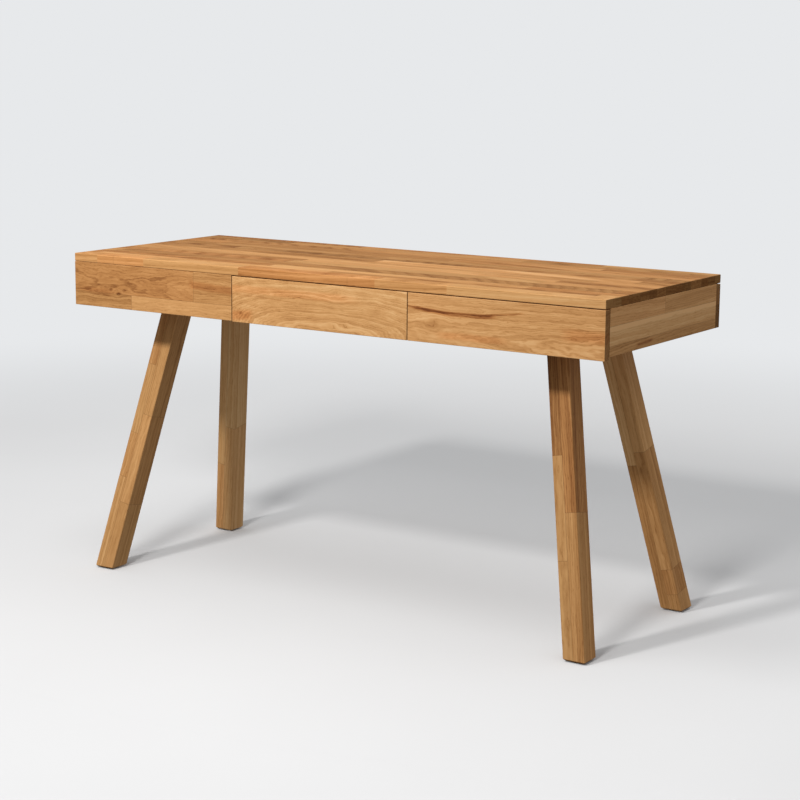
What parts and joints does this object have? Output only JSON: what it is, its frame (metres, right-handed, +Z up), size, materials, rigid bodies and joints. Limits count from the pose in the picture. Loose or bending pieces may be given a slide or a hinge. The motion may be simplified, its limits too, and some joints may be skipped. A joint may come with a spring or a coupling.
{
  "type": "writing desk with drawers",
  "caption": "Solid oak writing desk with a flat top over a shallow box of handle-less drawers, carried on square legs that splay outwards.",
  "frame": {"origin": "on the floor under the middle of the desk", "axes": "+X to the user's right, +Y from the user towards the back, +Z up"},
  "size_m": [1.4, 0.54, 0.76],
  "materials": {
    "oak_top": "oiled solid oak staves, satin",
    "oak_box": "oiled solid oak staves, satin",
    "oak_fronts": "oiled solid oak staves, satin",
    "oak_legs": "oiled solid oak staves, satin",
    "oak_drawer_boxes": "plain oak, matt",
    "plywood_bottoms": "birch plywood, matt",
    "zinc_runners": "zinc-plated sheet steel",
    "zinc_bolts": "zinc-plated steel",
    "felt_glides": "dark brown felt"
  },
  "bodies": {
    "desk": {"top_panel": "oak_top", "left_side_panel": "oak_box", "right_side_panel": "oak_box", "back_panel": "oak_box", "bottom_panel": "oak_box", "left_partition": "oak_box", "right_partition": "oak_box", "front_left_leg": "oak_legs", "front_left_foot_glide": "felt_glides", "front_left_leg_bolt_inner": "zinc_bolts", "front_left_leg_bolt_outer": "zinc_bolts", "front_right_leg": "oak_legs", "front_right_foot_glide": "felt_glides", "front_right_leg_bolt_inner": "zinc_bolts", "front_right_leg_bolt_outer": "zinc_bolts", "back_left_leg": "oak_legs", "back_left_foot_glide": "felt_glides", "back_left_leg_bolt_inner": "zinc_bolts", "back_left_leg_bolt_outer": "zinc_bolts", "back_right_leg": "oak_legs", "back_right_foot_glide": "felt_glides", "back_right_leg_bolt_inner": "zinc_bolts", "back_right_leg_bolt_outer": "zinc_bolts", "left_drawer_left_runner_cabinet_rail": "zinc_runners", "left_drawer_right_runner_cabinet_rail": "zinc_runners", "middle_drawer_left_runner_cabinet_rail": "zinc_runners", "middle_drawer_right_runner_cabinet_rail": "zinc_runners", "right_drawer_left_runner_cabinet_rail": "zinc_runners", "right_drawer_right_runner_cabinet_rail": "zinc_runners"},
    "left_drawer": {"left_drawer_front": "oak_fronts", "left_drawer_subfront": "oak_drawer_boxes", "left_drawer_left_side": "oak_drawer_boxes", "left_drawer_right_side": "oak_drawer_boxes", "left_drawer_back": "oak_drawer_boxes", "left_drawer_bottom": "plywood_bottoms", "left_drawer_left_runner_drawer_rail": "zinc_runners", "left_drawer_right_runner_drawer_rail": "zinc_runners"},
    "left_runner_middles": {"left_drawer_left_runner_middle_rail": "zinc_runners", "left_drawer_right_runner_middle_rail": "zinc_runners"},
    "middle_drawer": {"middle_drawer_front": "oak_fronts", "middle_drawer_subfront": "oak_drawer_boxes", "middle_drawer_left_side": "oak_drawer_boxes", "middle_drawer_right_side": "oak_drawer_boxes", "middle_drawer_back": "oak_drawer_boxes", "middle_drawer_bottom": "plywood_bottoms", "middle_drawer_left_runner_drawer_rail": "zinc_runners", "middle_drawer_right_runner_drawer_rail": "zinc_runners"},
    "middle_runner_middles": {"middle_drawer_left_runner_middle_rail": "zinc_runners", "middle_drawer_right_runner_middle_rail": "zinc_runners"},
    "right_drawer": {"right_drawer_front": "oak_fronts", "right_drawer_subfront": "oak_drawer_boxes", "right_drawer_left_side": "oak_drawer_boxes", "right_drawer_right_side": "oak_drawer_boxes", "right_drawer_back": "oak_drawer_boxes", "right_drawer_bottom": "plywood_bottoms", "right_drawer_left_runner_drawer_rail": "zinc_runners", "right_drawer_right_runner_drawer_rail": "zinc_runners"},
    "right_runner_middles": {"right_drawer_left_runner_middle_rail": "zinc_runners", "right_drawer_right_runner_middle_rail": "zinc_runners"}
  },
  "joints": [
    {"name": "left_drawer_slide", "type": "slide", "parent": "desk", "child": "left_drawer", "axis": [0, -1, 0], "range_m": [0, 0.45]},
    {"name": "left_runner_middle_slide", "type": "slide", "parent": "desk", "child": "left_runner_middles", "axis": [0, -1, 0], "range_m": [0, 0.225]},
    {"name": "middle_drawer_slide", "type": "slide", "parent": "desk", "child": "middle_drawer", "axis": [0, -1, 0], "range_m": [0, 0.45]},
    {"name": "middle_runner_middle_slide", "type": "slide", "parent": "desk", "child": "middle_runner_middles", "axis": [0, -1, 0], "range_m": [0, 0.225]},
    {"name": "right_drawer_slide", "type": "slide", "parent": "desk", "child": "right_drawer", "axis": [0, -1, 0], "range_m": [0, 0.45]},
    {"name": "right_runner_middle_slide", "type": "slide", "parent": "desk", "child": "right_runner_middles", "axis": [0, -1, 0], "range_m": [0, 0.225]}
  ],
  "couplings": [
    {"joint": "left_runner_middle_slide", "follows": "left_drawer_slide", "ratio": 0.5},
    {"joint": "middle_runner_middle_slide", "follows": "middle_drawer_slide", "ratio": 0.5},
    {"joint": "right_runner_middle_slide", "follows": "right_drawer_slide", "ratio": 0.5}
  ]
}
